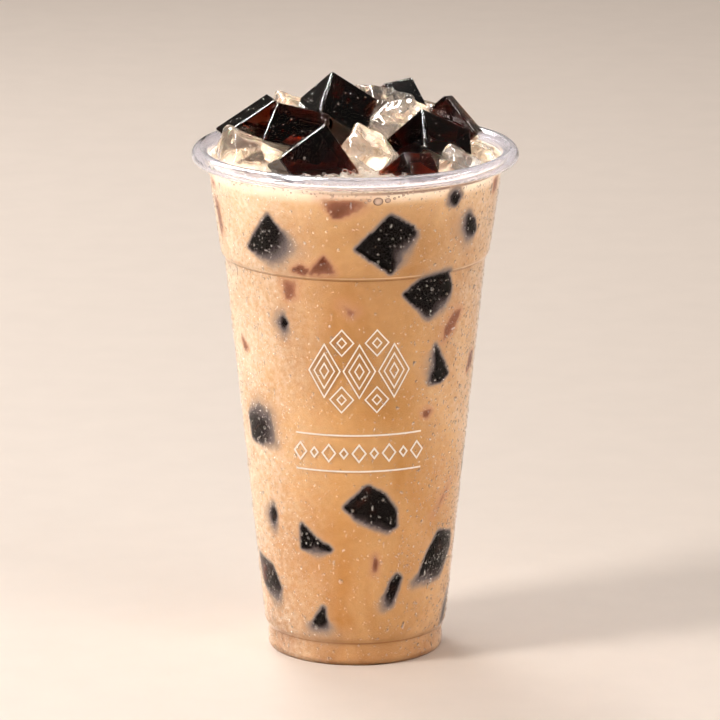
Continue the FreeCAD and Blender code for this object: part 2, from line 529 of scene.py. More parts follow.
def gel_material():
    """Dark clear jelly: black through its thickness, red-brown where an edge is thin."""
    make = Nodes("dark_jelly")
    shader = make.shader(
        Base_Color=(0.96, 0.90, 0.86, 1.0),
        Roughness=0.03,
        IOR=1.38,
        Transmission_Weight=1.0,
        Coat_Weight=1.0,
        Coat_Roughness=0.05,
        Coat_IOR=1.45,
        Normal=make.bump(make.noise(120, 2, 0.5), 0.3, 0.5 * MM),
    )
    absorb = make.add("ShaderNodeVolumeAbsorption")
    absorb.inputs["Color"].default_value = (0.73, 0.50, 0.30, 1.0)
    absorb.inputs["Density"].default_value = 1050.0
    make.feed(absorb.outputs[0], make.output.inputs["Volume"])
    return make.surface(shader)


def sunk_jelly_material():
    """Jelly against the wall under the tea: near black, redder on the lit left side with painted light, and
    with pale specks of painted sparkle towards the cup's sides.
    """
    make = Nodes("sunk_jelly")
    # Painted light: warmer on the left, the lit side, fading out towards the back.
    lit_side = make.times(
        make.spread(make.azimuth(), -1.15, -0.75, 0.6, 0.0), make.spread(make.azimuth(), -2.2, -1.5)
    )
    warm = make.plus(make.spread(make.noise(170, 4, 0.65), 0.40, 0.72, 0.0, 0.8), lit_side)
    # Painted sparkle: small pale specks, mostly on the cup's sides.
    painted_sparkle = make.times(
        make.spread(make.cells(850), 0.10, 0.24, 1.0, 0.0), make.spread(make.noise(300, 2), 0.52, 0.6)
    )
    painted_sparkle = make.times(painted_sparkle, make.spread(make.turn(), 0.3, 0.65, 0.1, 1.0))
    shader = make.shader(
        Base_Color=make.colour_mix(painted_sparkle, make.ramp(warm, JELLY_COLOURS), srgb(124, 110, 102)),
        Roughness=0.5,
        Specular_IOR_Level=0.04,
        Normal=make.bump(make.noise(500, 3, 0.6), 0.4, 0.3 * MM),
    )
    return make.surface(shader)


def ice_material():
    """Clear melting ice with faint white cracks."""
    make = Nodes("ice")
    crack = make.spread(make.noise(150, 5, 0.7, (1, 1, 1), 1.5), 0.50, 0.72)
    shader = make.shader(
        Base_Color=(0.94, 0.875, 0.805, 1.0),
        Roughness=make.spread(crack, 0.0, 1.0, 0.02, 0.25),
        IOR=1.29,
        Transmission_Weight=make.spread(crack, 0.0, 1.0, 0.95, 0.72),
        Coat_Weight=1.0,
        Coat_Roughness=0.03,
        Coat_IOR=1.4,
        Normal=make.bump(make.noise(200, 3, 0.55), 0.35, 0.7 * MM),
    )
    return make.surface(shader, lets_light_through=0.85)


def water_material():
    """Drops with a bright gloss."""
    make = Nodes("water_drops")
    shader = make.shader(
        Base_Color=(1.0, 0.97, 0.93, 1.0),
        Roughness=0.02,
        IOR=1.2,
        Transmission_Weight=0.94,
        Coat_Weight=1.0,
        Coat_Roughness=0.03,
        Coat_IOR=1.45,
        Normal=make.bump(make.noise(1500, 2), 0.1, 0.1 * MM),
    )
    return make.surface(shader, lets_light_through=0.9)


def froth_material():
    """Small whole bubbles, cream to white."""
    make = Nodes("froth")
    patch = make.spread(make.noise(500, 4, 0.6), 0.3, 0.7)
    colour = make.ramp(patch, [(0.0, srgb(236, 206, 172)), (1.0, srgb(253, 242, 226))])
    shader = make.shader(
        Base_Color=colour,
        Roughness=0.18,
        IOR=1.33,
        Subsurface_Weight=0.3,
        Subsurface_Radius=(0.001, 0.0008, 0.0006),
        Subsurface_Scale=1.0,
        Normal=make.bump(make.noise(1600, 2), 0.2, 0.1 * MM),
    )
    return make.surface(shader)


def foam_material():
    """The white edges of open foam."""
    make = Nodes("foam")
    tint = make.ramp(make.noise(900, 2), [(0.3, srgb(244, 228, 208)), (0.7, srgb(255, 250, 244))])
    shader = make.shader(
        Base_Color=tint,
        Roughness=0.12,
        IOR=1.33,
        Normal=make.bump(make.noise(2000, 1), 0.1, 0.05 * MM),
    )
    return make.surface(shader, lets_light_through=0.5)


def flat_bubble_material(name, middle, edge):
    """Flat bubbles with a darker outline of painted shade."""
    make = Nodes(name)
    colour = make.ramp(make.attribute("edge"), [(0.0, middle), (1.0, edge)])
    mottle = make.spread(make.noise(900, 2), 0.3, 0.7, 0.85, 1.15)
    colour = make.colour_mix(1.0, colour, mottle, "MULTIPLY")
    return make.surface(make.shader(Base_Color=colour, Roughness=0.25, Specular_IOR_Level=0.3))


def ink_material():
    """White printing ink, a little patchy."""
    make = Nodes("white_ink")
    patch = make.spread(make.noise(700, 3, 0.6), 0.3, 0.7)
    colour = make.ramp(patch, [(0.0, srgb(240, 228, 216)), (1.0, srgb(250, 242, 233))])
    shader = make.shader(
        Base_Color=colour, Roughness=0.4, Normal=make.bump(make.noise(2500, 2), 0.1, 0.05 * MM)
    )
    return make.surface(shader)


def floor_material():
    """A pale, faintly grained surface."""
    make = Nodes("pale_floor")
    grain = make.spread(make.noise(60, 3), 0.3, 0.7, 0.985, 1.01)
    colour = make.colour_mix(1.0, srgb(243, 229, 217), grain, "MULTIPLY")
    return make.surface(make.shader(Base_Color=colour, Roughness=0.6))


# ---------------------------------------------------------------- jelly sunk in the tea

# Each block shows one face to the wall: azimuth in degrees and height in mm of its middle, its thickness in
# mm, then its corners as mm to the right, mm up and mm behind the wall. Below zero, a corner presses on it.
SUNK_DARK = [
    (-39, 128.5, 7, [(1.2, 8.2, -0.4), (-7.9, -3.0, -0.4), (-4, -4.6, 0.6), (2.2, -6.4, 1.9),
                     (6, -5.6, 2.7), (10.4, -2.4, 2.6), (6.4, 2.6, 0.8), (4.2, 4.6, 0)]),
    (12.5, 129.8, 8, [(1.1, 8.2, -0.4), (-8.6, -1.8, -0.4), (2, -9.2, -0.1), (5.4, -4.6, 1.9),
                      (9.3, 2.0, 0.4), (8, 4, -0.3)]),
    (36.5, 113.2, 8, [(-9.4, 0.4, -0.4), (-4, 4.4, -0.3), (5.2, 5.6, -0.2), (7.4, -0.2, 0),
                      (5, -4.8, 1.3), (-1, -7.6, 0.5)]),
    (38, 118.5, 5, [(-4, 0, 2), (3, 2.4, 3.1), (6, 0, 2.2), (2, -2, 1.4)]),
    (53, 131, 5, [(-0.5, 4.6, 0.4), (-5, 1, 3.7), (0, -5.5, 3.4), (4.6, -1.6, -0.3), (2.8, 1.6, -0.1)]),
    (-35, 104, 4, [(0, 3.2, 1.4), (-2, 0, 1.7), (0.6, -3.6, 1.7), (1.7, 0.4, -0.2), (0.6, 1.7, -0.1)]),
    (43, 90.5, 6, [(-1.4, 6.3, 0.1), (-3.4, 0, 3.1), (-2.5, -4.8, 0.5), (1.5, -5, -0.1), (4.6, -3.2, -0.4)]),
    (-56, 71.5, 7, [(0, 6.6, 2), (-7, 1, 0.1), (-6, -5.6, 0.0), (0, -6, 0.5), (6, -5, 1.7),
                    (5.5, 4.2, 1.7)]),
    (8.5, 48.5, 8, [(-1, 7.4, -0.4), (-7.8, 0.9, -0.4), (-3, -3.2, 0.6), (5.2, -6.8, 0.5),
                    (7.7, -5.5, -0.3), (7.4, -0.5, -0.4), (3.5, 4.8, -0.4)]),
    (-53, 43.5, 4, [(0.7, 3.6, 0.7), (-2.4, 0.4, 1.7), (0.3, -4.2, 1.4), (1.9, 0.6, -0.2), (1.5, 2, -0.1)]),
    (-25, 38.5, 6, [(-3.4, 4.9, -0.4), (-3.6, -2.6, -0.3), (1.5, -3.5, 1.4), (6, -2.4, -0.1),
                    (0.6, 1, -0.3)]),
    (-65, 23, 6, [(-7.2, 6.3, -0.3), (-4.5, -1.5, -0.3), (4.2, -6.8, 2), (6.5, -1.5, 0.2),
                  (3.5, 4.6, -0.3)]),
    (57, 31, 6, [(-1, 7.6, -0.2), (-5.2, 2, -0.3), (-7.4, -3.8, -0.2), (-9.5, -7, 1.2), (1.5, -6.4, 0.7),
                 (8, 1, 0.1), (7, 5.6, 0)]),
    (23, 23, 4, [(1.3, 5, -0.2), (-0.4, 3.2, -0.3), (-1.6, 0.2, -0.1), (-2.7, -4.8, 1.5),
                 (-0.3, -4.6, 0.4), (2.4, 3.4, 0)]),
    (-23, 13.5, 5, [(1.5, 4.8, 0.1), (-1.7, 0, -0.2), (-3.6, -3.4, 2.5), (4.2, -4, 3.7), (2.2, 0.5, -0.2)]),
    (43, 141.0, 3, [(-1.5, 2.0, 0.3), (-2.2, -1, 0.8), (0.4, -2.2, 0.1), (2.4, 0.4, 0.1), (0.6, 2.3, 0.8)]),
    (76, 12.5, 4, [(2, 5, 0.6), (-1.6, 0, 1.4), (-2.2, -4.6, 0.7), (1.2, -2, 0.4)]),
]
SUNK_AMBER = [
    (-4, 140.4, 4, [(-7.6, 2.8, 1.5), (-5.4, 0.2, 0.6), (-3.4, -3.0, 0.1), (-0.4, -2.6, 0.4),
                    (4, -0.8, 1.2), (8.2, 2.3, 1.5)]),
    (-15, 122.6, 4, [(-3.2, -2.4, 0.4), (4.4, -2.1, 0.7), (1.4, 3.4, 0.0)]),
    (-23.6, 121.2, 3, [(-2.8, -0.6, 0.1), (1, -1.4, 0.1), (2.8, 0.1, 0.3), (0, 1.5, 0.1)]),
    (-30, 114.8, 4, [(-2.4, 2.6, 0.9), (-1.4, -3.2, 0.5), (1.6, -2.4, 0.8), (2.6, 3.0, 1.4)]),
    (-3, 109.3, 3, [(-2.4, 2.0, 1.2), (0.6, -2.0, 0.6), (2.4, -0.2, 1.0)]),
    (51, 102.3, 4, [(-3.8, -4.6, 0.6), (0.4, -2.2, 0.8), (4.0, 3.8, 0.7), (0.4, 4.2, 1.0),
                    (-3.4, -0.4, 0.8)]),
    (73, 88, 4, [(-2.4, -2.6, 0.1), (2, -1.2, 0.2), (2.4, 3, 0.3), (-0.6, 2.4, 0.2)]),
    (-64, 94.5, 3, [(-1.8, 1.8, 0.3), (-0.4, -1.9, 0.3), (1.6, -0.6, 0.5)]),
    (-74, 131, 4, [(-3, 6, 0.5), (-1.2, -5.4, 0.6), (2, -3, 0.9), (0.8, 4.6, 0.9)]),
    (38, 76.5, 3, [(-1.5, 0.2, 0.4), (0.2, -1.5, 0.2), (1.5, 0.4, 0.4), (0.2, 1.5, 0.6)]),
    (12, 31.5, 3, [(-0.5, 2.9, 0.5), (-0.6, -1, 0.2), (-0.2, -3.2, 0.8), (0.6, 0.6, 0.1)]),
    (56, 48.5, 3, [(-4.2, -4.6, 0.9), (-0.6, -1.2, 0.6), (4, 4.6, 1.2), (0, 0.8, 0.7)]),
    (74, 141, 3, [(-2, 1.6, 0.5), (-1.2, -2.2, 0.5), (2, -1, 0.4), (1.4, 2, 0.6)]),
    (-77, 141.5, 3, [(-2, 1, 0.4), (-1, -1.6, 0.4), (1.8, -0.6, 0.5)]),
]

# On the far side the blocks are set by chance in staggered rows. Azimuths are in degrees and sizes in mm.
BACK_ROWS = 7
BACK_COLUMNS = 4
BACK_START = 94
BACK_SWEEP = 166
BACK_FOOT = 14
ROW_HEIGHT = 19
SMALL_SIZES = (1.6, 3.2)
LARGE_SIZES = (4.2, 7.6)
EMPTY_SHARE = 0.16
AMBER_SHARE = 0.32
SMALL_SHARE = 0.4
AMBER_DEPTH = 0.7

# The tea reaches this far into the wall.
TEA_REACH = 0.3 * MM

# All in mm, apart from the last one: shares of the way from the middle of a face to its outline.
SUNK_PROUD = 0.06
OUTLINE_STEP = 0.5
OUTLINE_WOBBLE = 0.25
PITTING = 0.1
FACE_SHARES = (1.0, 0.8, 0.55, 0.28)


def round_the_back():
    """More blocks of the same kinds on the side of the cup that faces away."""
    dark, amber = [], []
    for row in range(BACK_ROWS):
        for column in range(BACK_COLUMNS):
            stagger = 0.5 * (row % 2) + chance(-0.3, 0.3)
            azimuth = BACK_START + BACK_SWEEP * (column + 0.25 + stagger) / BACK_COLUMNS
            height = BACK_FOOT + ROW_HEIGHT * row + chance(-5, 5)
            sort = random_numbers.random()
            if sort < EMPTY_SHARE:
                continue
            radius = chance(*SMALL_SIZES) if sort < SMALL_SHARE else chance(*LARGE_SIZES)
            corners = chance_corners(radius)
            if sort < AMBER_SHARE:
                amber.append((azimuth, height, 4, [(x, y, depth + AMBER_DEPTH) for x, y, depth in corners]))
            else:
                dark.append((azimuth, height, 7, corners))
    return dark, amber


def chance_corners(radius):
    """Corners of a block's face of this size, in mm, with one side sunk back into the tea."""
    sides = int(random_numbers.integers(4, 7))
    turn = chance(0, 2 * math.pi)
    sinking = chance(0.8, 3.0)
    corners = []
    for side in range(sides):
        angle = turn + 2 * math.pi * (side + chance(-0.28, 0.28)) / sides
        stretch = radius * chance(0.65, 1.15)
        depth = -0.3 + sinking * max(math.cos(angle - turn - 1.0), 0)
        corners.append((stretch * math.cos(angle), stretch * math.sin(angle), depth))
    return corners


def softened_outline(corners):
    """Points spaced evenly round a face, its corners rounded off and its edges slightly uneven."""
    line = []
    for start, end in zip(corners, corners[1:] + corners[:1]):
        start, end = Vector(start), Vector(end)
        steps = max(2, round((end - start).length / OUTLINE_STEP))
        line += [start.lerp(end, step / steps) for step in range(steps)]
    line = [(line[i - 1] + line[i] * 2 + line[(i + 1) % len(line)]) / 4 for i in range(len(line))]
    for point in line:
        point.x += OUTLINE_WOBBLE * noise.noise(point * 1.1 + Vector((corners[0][0], 7, 0)))
        point.y += OUTLINE_WOBBLE * noise.noise(point * 1.1 + Vector((0, 3, corners[0][1])))
    return line


def sunk_point(azimuth, height, point, inward):
    """Where a point of a block's face lies: right, up and behind the wall in mm, then further inward."""
    level = height + point.y * MM
    radius = inner_radius(level) + TEA_REACH
    pitted = point.z + PITTING * noise.noise(point * 1.3)
    reach = radius + (min(-pitted, SUNK_PROUD) - inward) * MM
    return round_axis(reach, math.radians(azimuth) + point.x * MM / radius, level)


def sunk_shape(azimuth, height, thickness, corners):
    """Points and faces of a block whose outer face follows the wall."""
    line = softened_outline(corners)
    middle = sum(line, Vector()) / len(line)
    middle.z = min(point.z for point in line)
    rings = [(0.75, thickness), (1.0, thickness * 0.4)] + [(share, 0.0) for share in FACE_SHARES]
    points = [sunk_point(azimuth, height, middle, thickness)]
    for share, inward in rings:
        points += [sunk_point(azimuth, height, middle.lerp(point, share), inward) for point in line]
    points.append(sunk_point(azimuth, height, middle, 0.0))
    return points, ring_faces(len(line), len(rings))


def sunk_shapes(blocks):
    """The shapes of these rows of a table of blocks."""
    return [sunk_shape(azimuth, height * MM, *block) for azimuth, height, *block in blocks]


# ---------------------------------------------------------------- the tea

TEA_SEGMENTS = 352
TOP_RINGS = 28

# The tea's edge where it climbs the wall: mm in from the wall and mm over the level.
MENISCUS = [(0.0, -0.1), (0.12, 0.42), (0.6, 0.25), (1.3, 0.05), (2.4, -0.1), (4.0, 0.0)]

# How fast sunk jelly fades with its depth behind the tea's side.
DARK_FADE = 1.9 * MM
AMBER_FADE = 1.5 * MM

# Rays look this far into the tea, from a little outside it: one straight in, then cones of (lean, count,
# weight).
SIGHT = 6 * MM
BACK_OFF = 0.4 * MM
STRAIGHT_WEIGHT = 12.0
RAY_CONES = ((0.5, 6, 1.0), (1.1, 8, 0.7), (2.2, 10, 0.5))

# The soft border round sunk jelly: its reach at the wall, how much that grows with depth, and its strength.
HALO_REACH = 0.9 * MM
HALO_GROWTH = 1.3
HALO_SHARE = 0.42


def tea_profile():
    """The outline of the tea, moved out into the wall, from the middle of the base up to its level."""
    eye = Vector((0, 0, 30 * MM))
    profile = []
    for index in range(76):
        angle = math.radians(-90 + index * 1.04)
        direction = Vector((math.cos(angle), 0, math.sin(angle)))
        hit, normal, _, _ = TEA_TREE.ray_cast(eye, direction)
        out = normal if normal.dot(direction) > 0 else -normal
        moved = hit + Vector((out.x, 0, out.z)).normalized() * TEA_REACH
        profile.append((max(moved.x, 0.0), moved.z))
    profile[0] = (0, profile[0][1])
    height = profile[-1][1]
    coarse, fine = 0.8 * MM, 0.16 * MM
    while height < LEVEL - 0.5 * MM:
        slope = abs(inner_radius(height + coarse) - inner_radius(height)) / coarse
        height += fine if slope > 0.25 else coarse
        profile.append((inner_radius(height) + TEA_REACH, height))
    return profile


def make_tea(dark_shapes, amber_shapes):
    """The tea out to just inside the wall, with how near the jelly lies behind each point of its side."""
    profile = tea_profile()
    side_radius = profile[-1][0]
    profile += [(side_radius - back * MM, LEVEL + rise * MM) for back, rise in MENISCUS]
    inner = profile[-1][0]
    profile += [(inner * (1 - (index + 1) / TOP_RINGS), LEVEL) for index in range(TOP_RINGS)]
    profile[-1] = (0, LEVEL)
    mesh = lathe("tea_body", profile, TEA_SEGMENTS)
    top = LEVEL - 0.05 * MM
    for vertex in mesh.vertices:
        if vertex.co.z > top and vertex.co.xy.length < side_radius - 1.0 * MM:
            swell = noise.noise(vertex.co * 160) * 0.5 + noise.noise(vertex.co * 520) * 0.22
            vertex.co.z += swell * MM
    set_attribute(mesh, "shade", murk(mesh, dark_shapes, DARK_FADE))
    set_attribute(mesh, "amber", murk(mesh, amber_shapes, AMBER_FADE))
    piece = add_piece("tea_body", mesh, tea_material())
    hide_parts("tea")


def view_rays():
    """Directions into the tea as (sideways, upwards, weight), from straight in to strongly oblique."""
    rays = [(0.0, 0.0, STRAIGHT_WEIGHT)]
    for lean, count, weight in RAY_CONES:
        rays += [(lean * math.cos(angle), lean * math.sin(angle), weight) for angle in circle(count)]
    return rays


def murk(mesh, shapes, fade):
    """For each point on the tea's side, how much jelly shows there: 1 for jelly at the wall, 0 for none."""
    tree = BVHTree.FromPolygons(*joined(shapes))
    rays = view_rays()
    places = np.empty(len(mesh.vertices) * 3)
    mesh.vertices.foreach_get("co", places)
    places = places.reshape(-1, 3)
    near = np.zeros(len(places), bool)
    for points, _ in shapes:
        middle = sum(points, Vector()) / len(points)
        reach = max((point - middle).length for point in points) + 4 * MM
        near |= np.linalg.norm(places - np.array(middle), axis=1) < reach
    near &= places[:, 2] < LEVEL - 0.6 * MM
    values = np.zeros(len(places))
    for index in np.flatnonzero(near):
        place = mesh.vertices[index].co
        values[index] = max(seen_from(place, tree, rays, fade), HALO_SHARE * halo(place, tree, fade))
    return values


def seen_from(place, tree, rays, fade):
    """The share of the rays from here into the tea that meet jelly, less what the jelly's depth hides."""
    out = Vector((place.x, place.y, 0)).normalized()
    right = Vector((-out.y, out.x, 0))
    seen, total = 0.0, 0.0
    for sideways, upwards, weight in rays:
        direction = (right * sideways + UP * upwards - out).normalized()
        hit = tree.ray_cast(place - direction * BACK_OFF, direction, BACK_OFF + SIGHT)
        if hit[0] is not None:
            seen += weight * math.exp(-max(hit[3] - BACK_OFF, 0.0) / fade)
        total += weight
    return seen / total


def halo(place, tree, fade):
    """A soft border round the nearest jelly, wider the deeper it lies."""
    nearest = tree.find_nearest(place)[0]
    depth = max(place.xy.length - nearest.xy.length, 0.0)
    beside = math.sqrt(max((place - nearest).length_squared - depth ** 2, 0.0))
    return math.exp(-depth / fade - (beside / (HALO_REACH + HALO_GROWTH * depth)) ** 2)


# ---------------------------------------------------------------- the heap

def copy_of(node_name, name):
    """A new object with a copy of this node's mesh."""
    mesh = NODES[node_name].data.copy()
    mesh.name = name
    return linked(name, mesh)


def wobble(mesh, amount, scale, seed):
    """Moves each vertex along its normal by smooth noise."""
    shift = Vector((seed * 3.1, seed * 1.7, seed * 0.9))
    normals = [vertex.normal.copy() for vertex in mesh.vertices]
    for vertex, normal in zip(mesh.vertices, normals):
        vertex.co += normal * (amount * noise.noise(vertex.co * scale + shift))
    mesh.update()


def make_jelly():
    """Each block of the heap, its flat faces shaded flat and its rounded edges smooth."""
    material = gel_material()
    made = []
    for node_name in JELLY_NODES:
        piece = copy_of(node_name, node_name + "_gel")
        shape = bmesh.new()
        shape.from_mesh(piece.data)
        bmesh.ops.remove_doubles(shape, verts=shape.verts, dist=0.002 * MM)
        bmesh.ops.recalc_face_normals(shape, faces=shape.faces)
        shape.to_mesh(piece.data)
        shape.free()
        if piece.data.has_custom_normals:
            piece.data.normals_split_custom_set([(0, 0, 0)] * len(piece.data.loops))
        piece.data.polygons.foreach_set("use_smooth", [True] * len(piece.data.polygons))
        modify(piece, "WEIGHTED_NORMAL", weight=100, keep_sharp=False)
        dress(piece, material)
        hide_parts(node_name)
        made.append(piece)
    return made


def make_ice():
    """Each chunk of ice, melted into soft hollows and ridges."""
    material = ice_material()
    made = []
    for index, node_name in enumerate(ICE_NODES):
        piece = copy_of(node_name, node_name + "_melted")
        modify(piece, "REMESH", mode="VOXEL", voxel_size=0.45 * MM)
        modify(piece, "SMOOTH", factor=0.5, iterations=12)
        wobble(piece.data, 1.1 * MM, 130, index + 20)
        wobble(piece.data, 0.3 * MM, 380, index + 40)
        dress(piece, material)
        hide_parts(node_name)
        made.append(piece)
    return made


# ---------------------------------------------------------------- shapes of drops and bubbles

DOME_CORNERS = 6
SPHERE_ROWS = 4
SPHERE_CORNERS = 7
FOAM_CORNERS = 10

# The rings of a flat bubble: their radius and lift in shares of its own radius, and how dark their painted
# shade is.
DISC_RINGS = ((1.0, -0.30, 1.0), (0.9, 0.05, 1.0), (0.72, 0.10, 0.35), (0.4, 0.13, 0.0))
DISC_CORNERS = 10
# Painted shade of each point of a flat bubble, darkest at its outline.
DISC_OUTLINE_SHADE = [dark for _, _, dark in DISC_RINGS for _ in range(DISC_CORNERS)] + [0.0]


def dome(place, right, up, out, wide, tall, deep):
    """A drop on a surface: a low dome, closed under the surface."""
    points = []
    for share, lift in ((1.0, -0.15), (0.8, 0.62)):
        for index in range(DOME_CORNERS):
            angle = 2 * math.pi * (index + lift) / DOME_CORNERS
            across = right * (wide * share * math.cos(angle)) + up * (tall * share * math.sin(angle))
            points.append(place + across + out * (deep * lift))
    points.append(place + out * deep)
    return points, ring_faces(DOME_CORNERS, 2, flat_base=True)


def sphere_shape(place, radius):
    """A small whole bubble."""
    points = [place - UP * radius]
    for row in range(1, SPHERE_ROWS):
        polar = math.pi * row / SPHERE_ROWS
        flat = radius * math.sin(polar)
        for angle in circle(SPHERE_CORNERS):
            offset = Vector((flat * math.cos(angle), flat * math.sin(angle), -radius * math.cos(polar)))
            points.append(place + offset)
    points.append(place + UP * radius)
    return points, ring_faces(SPHERE_CORNERS, SPHERE_ROWS - 1)


def bubble_disc(place, right, up, out, radius):
    """A flat bubble: a dome of rings, at most 0.11 mm high."""
    points = []
    for share, lift, _ in DISC_RINGS:
        for angle in circle(DISC_CORNERS):
            across = (right * math.cos(angle) + up * (math.sin(angle) * 0.85)) * (radius * share)
            points.append(place + across + out * min(lift * radius, 0.1 * MM))
    points.append(place + out * min(0.14 * radius, 0.11 * MM))
    return points, ring_faces(DISC_CORNERS, len(DISC_RINGS), flat_base=True)


def ring_shape(place, facing, radius):
    """The thick edge at which a bubble of foam joins its neighbours: a thin ring."""
    across = 4
    thickness = 0.13 * radius
    right = facing.orthogonal().normalized()
    up = facing.cross(right)
    points = []
    for angle in circle(FOAM_CORNERS):
        out = right * math.cos(angle) + up * math.sin(angle)
        for turn in circle(across):
            reach = radius + thickness * math.cos(turn)
            points.append(place + out * reach + facing * (thickness * math.sin(turn)))
    return points, tube_faces(FOAM_CORNERS, across)


def add_discs(name, discs, middle, edge):
    """One piece of flat bubbles, coloured from their middle to their edge, which is darkened with painted
    shade.
    """
    mesh = mesh_from(name, *joined(discs))
    set_attribute(mesh, "edge", DISC_OUTLINE_SHADE * len(discs))
    add_piece(name, mesh, flat_bubble_material(name, middle, edge))


# ---------------------------------------------------------------- drops, bubbles and froth

FINE_DROPS = 8200
BEADS = 4200
CROWDED_BUBBLES = 1700
LOOSE_BUBBLES = 700
SURFACE_BUBBLES = 420
FOAM_PLACES = 1000
WALL_BUBBLES = 900
CLINGING_DROPS = 420

# The open foam is thick up to a sweep to either side of an azimuth, both in degrees. It starts this many mm
# from the axis.
FOAM_AZIMUTH = -10
FOAM_SWEEP = 36
FOAM_START = 24

# Larger bubbles at the wall: azimuth in degrees, height and radius in mm.
BUBBLE_CLUSTER = [
    (9.0, 142.3, 1.6), (12.8, 142.5, 0.95), (5.6, 142.7, 0.6), (4.2, 142.1, 0.45), (15.4, 143.0, 0.5),
    (17.2, 143.4, 0.38), (19.0, 143.8, 0.45), (20.8, 144.1, 0.34), (2.4, 142.9, 0.36), (22.6, 144.4, 0.4),
]


def wet_place(low, high, evenness):
    """A random place on the outside of the cup, likelier on its sides and in wet patches."""
    while True:
        azimuth = chance(-180, 180)
        height = chance(low, high)
        sideways = abs(math.sin(math.radians(azimuth)))
        patch = noise.noise(Vector((azimuth * 0.05, height * 90, 3.0))) * 0.5 + 0.5
        wanted = (evenness + (1 - evenness) * sideways ** 1.5) * (0.4 + 0.8 * patch)
        steep = abs(outer_radius(height + 0.6 * MM) - outer_radius(height - 0.6 * MM)) > 0.4 * MM
        if random_numbers.random() < wanted and not steep:
            return azimuth, height


def drops(count, middle_radius, largest, evenness, runs):
    """Shapes of drops on the wall, their radii in mm. A share of them, runs, are drawn out downwards."""
    shapes = []
    for _ in range(count):
        azimuth, height = wet_place(CUP_LOW.z + 1.5 * MM, CUP_HIGH.z - 6 * MM, evenness)
        radius = chance_size(middle_radius, 0.35, largest)
        right, up, out = wall_axes(azimuth, height)
        tall = radius * chance(1.0, 1.35)
        if random_numbers.random() < runs:
            tall = radius * chance(2.0, 4.5)
        shapes.append(dome(wall_point(azimuth, height), right, up, out, radius, tall, radius * 0.6))
    return shapes


def make_condensation():
    """Drops all over the outside of the cup, thicker on its sides, with some runs."""
    water = water_material()
    fine = drops(FINE_DROPS, 0.16, 0.34, evenness=0.25, runs=0.01)
    add_shapes("condensation", fine, water)
    beads = drops(BEADS, 0.26, 0.8, evenness=0.3, runs=0.03)
    add_shapes("condensation_beads", beads, water)


def surface_spots(count, low_radius, high_radius, tree):
    """Random places on the tea's surface that no piece of the heap covers."""
    spots = []
    for _ in range(count * 12):
        if len(spots) == count:
            break
        angle = chance(0, 2 * math.pi)
        place = round_axis(math.sqrt(chance(low_radius ** 2, high_radius ** 2)), angle, LEVEL)
        if tree.ray_cast(place + UP * (60 * MM), DOWN, 60.5 * MM)[0] is None:
            spots.append(place)
    return spots


def make_froth(heap_tree):
    """Whole bubbles: a crowded line round the wall and loose ones between the pieces of the heap."""
    wall = inner_radius(LEVEL)
    shapes = []
    for place in surface_spots(CROWDED_BUBBLES, wall - 5 * MM, wall - 0.3 * MM, heap_tree):
        radius = chance_size(0.3, 0.4, 0.9)
        reach = wall - 0.1 * MM - radius
        if place.xy.length > reach:
            place.xy = place.xy.normalized() * reach
        shapes.append(sphere_shape(place + UP * (radius * chance(0.1, 0.9)), radius))
    for place in surface_spots(LOOSE_BUBBLES, 0, wall - 4 * MM, heap_tree):
        radius = chance_size(0.34, 0.45, 1.0)
        shapes.append(sphere_shape(place + UP * (radius * 0.4), radius))
    add_shapes("froth_bubbles", shapes, froth_material())


def make_surface_bubbles(heap_tree):
    """Flat bubbles on the tea, lifted with its swell."""
    discs = []
    for place in surface_spots(SURFACE_BUBBLES, 0, inner_radius(LEVEL) - 1.2 * MM, heap_tree):
        radius = chance_size(0.3, 0.4, 0.7)
        lifted = place + UP * (0.35 * MM + 0.5 * MM * noise.noise(place * 160))
        discs.append(bubble_disc(lifted, Vector((1, 0, 0)), Vector((0, 1, 0)), UP, radius))
    add_discs("surface_bubbles", discs, srgb(246, 226, 200), srgb(176, 138, 104))


def make_open_foam(heap_tree):
    """Rings of large open bubbles, in up to three layers in front of the heap and sparse elsewhere."""
    shapes = []
    for place in surface_spots(FOAM_PLACES, FOAM_START * MM, inner_radius(LEVEL) - 1.2 * MM, heap_tree):
        azimuth = math.degrees(math.atan2(place.x, -place.y))
        at_front = abs(azimuth - FOAM_AZIMUTH) < FOAM_SWEEP
        if not at_front and random_numbers.random() < 0.8:
            continue
        radius = chance_size(0.60, 0.26, 1.1)
        for layer in range(int(random_numbers.integers(1, 4)) if at_front else 1):
            jitter = Vector(random_numbers.uniform(-0.7, 0.7, 3)) * MM * min(layer, 1)
            lift = UP * (radius * 0.4 + layer * 0.9 * MM)
            out = Vector((place.x, place.y, 0)).normalized() + Vector(random_numbers.uniform(-0.5, 0.5, 3))
            facing = (out + UP * 0.5).normalized()
            shapes.append(ring_shape(place + lift + jitter, facing, radius * (1 - 0.1 * layer)))
    add_shapes("open_foam", shapes, foam_material())


def make_wall_bubbles():
    """Bubbles that press flat against the wall in the line of froth, and a cluster of larger ones."""
    spots = []
    for _ in range(WALL_BUBBLES):
        azimuth = chance(-180, 180)
        below = abs(random_numbers.normal(0, 1.1))
        spots.append((azimuth, LEVEL / MM - 0.5 - below, chance_size(0.2, 0.4, 0.5)))
    spots += [(azimuth, height, radius * MM) for azimuth, height, radius in BUBBLE_CLUSTER]
    discs = []
    for azimuth, height, radius in spots:
        right, up, out = wall_axes(azimuth, height * MM)
        place = wall_point(azimuth, height * MM) - out * (WALL_THICKNESS - TEA_REACH - 0.02 * MM)
        discs.append(bubble_disc(place, right, up, out, radius))
    add_discs("wall_bubbles", discs, srgb(198, 172, 152), srgb(70, 44, 32))


